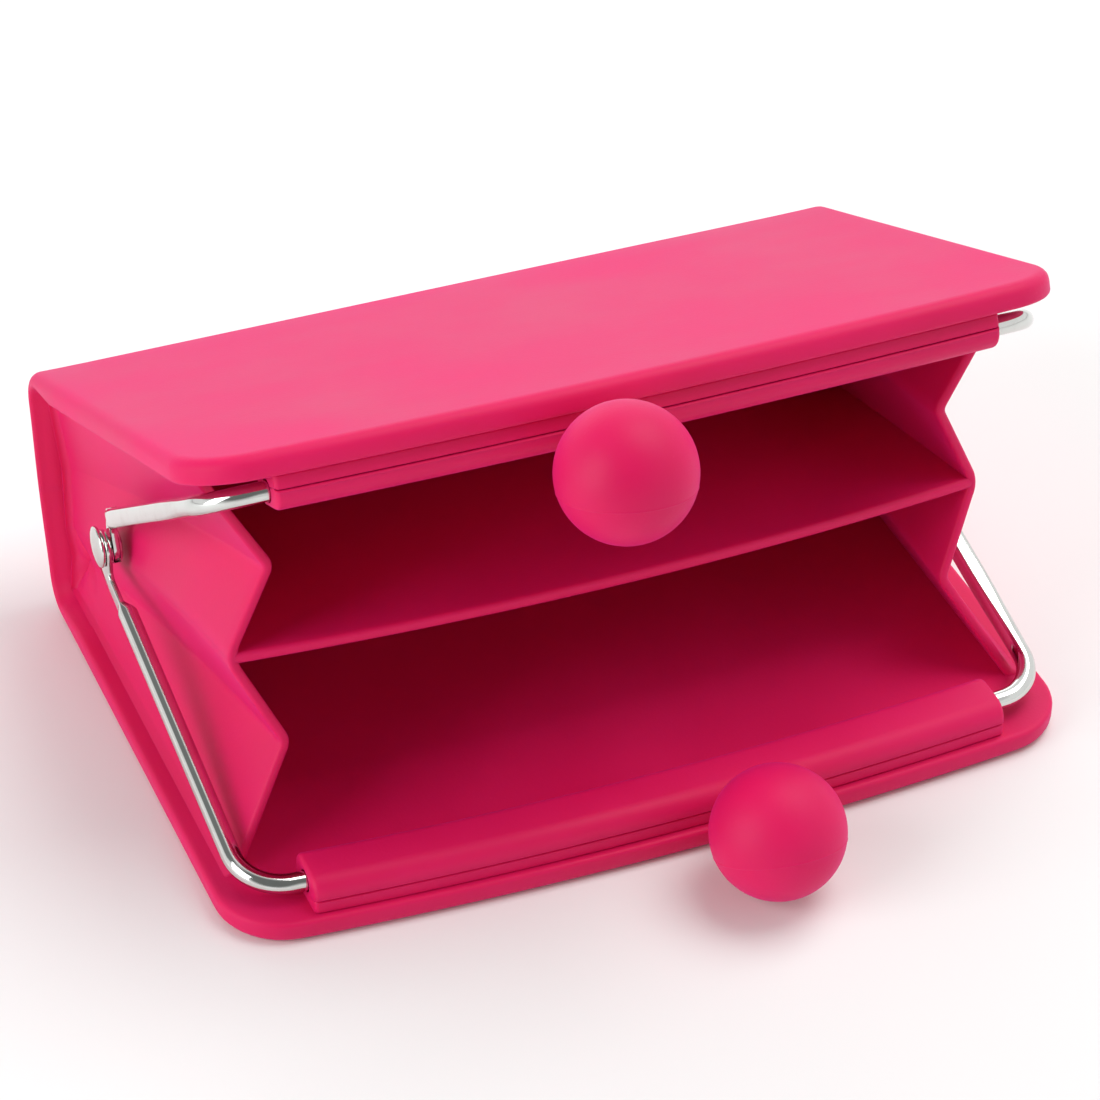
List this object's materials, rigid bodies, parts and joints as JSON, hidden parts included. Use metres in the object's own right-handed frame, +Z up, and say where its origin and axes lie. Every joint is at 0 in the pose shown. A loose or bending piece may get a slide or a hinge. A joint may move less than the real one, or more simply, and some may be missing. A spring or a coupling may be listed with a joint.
{
  "type": "clasp wallet",
  "caption": "Soft silicone wallet with pleated sides, a divider between a card space and a coin space, and a riveted wire frame that snaps shut with ball knobs, shown half open.",
  "frame": {"origin": "centre of the lower cover's underside, which lies on the table: halfway across, and halfway between the spine corner and the straight line through the ends of the bowed front edge", "axes": "+X to the right along the spine as seen from the opening, +Y backward to the spine, +Z up out of the lower cover"},
  "size_m": [0.108, 0.0958, 0.0652],
  "materials": {
    "silicone": "satin moulded silicone",
    "silicone_inside": "satin moulded silicone",
    "nickel": "polished nickel plate on steel"
  },
  "bodies": {
    "lower_shell": {"lower_cover": "silicone", "lower_sleeve": "silicone", "left_bellows_lower": "silicone_inside", "right_bellows_lower": "silicone_inside"},
    "middle": {"spine": "silicone", "divider": "silicone_inside"},
    "upper_shell": {"upper_cover": "silicone", "upper_sleeve": "silicone", "left_bellows_upper": "silicone_inside", "right_bellows_upper": "silicone_inside"},
    "lower_frame": {"lower_bail": "nickel", "lower_stud": "nickel", "lower_ball": "silicone", "left_rivet": "nickel", "left_washer": "nickel"},
    "upper_frame": {"upper_bail": "nickel", "upper_stud": "nickel", "upper_ball": "silicone", "right_rivet": "nickel", "right_washer": "nickel"}
  },
  "joints": [
    {"name": "lower_fold", "type": "hinge", "parent": "lower_shell", "child": "middle", "pos_m": [0, 0.03719, 0.01589], "axis": [-1, 0, 0], "range_deg": [-17.8, 3], "deforming": ["spine", "left_bellows_lower", "right_bellows_lower"]},
    {"name": "upper_fold", "type": "hinge", "parent": "middle", "child": "upper_shell", "pos_m": [0, 0.03719, 0.01589], "axis": [-1, 0, 0], "range_deg": [-17.8, 3], "deforming": ["left_bellows_upper", "right_bellows_upper"]},
    {"name": "lower_bail_turn", "type": "hinge", "parent": "lower_shell", "child": "lower_frame", "pos_m": [0, -0.03232, 0.00514], "axis": [-1, 0, 0], "range_deg": [-1.07, 6.32]},
    {"name": "upper_bail_turn", "type": "hinge", "parent": "upper_shell", "child": "upper_frame", "pos_m": [0, -0.02173, 0.0543], "axis": [-1, 0, 0], "range_deg": [-6.32, 1.07]}
  ],
  "couplings": [
    {"joint": "upper_fold", "follows": "lower_fold", "ratio": 1},
    {"joint": "lower_bail_turn", "follows": "lower_fold", "ratio": -0.35443},
    {"joint": "upper_bail_turn", "follows": "lower_fold", "ratio": 0.35443}
  ]
}
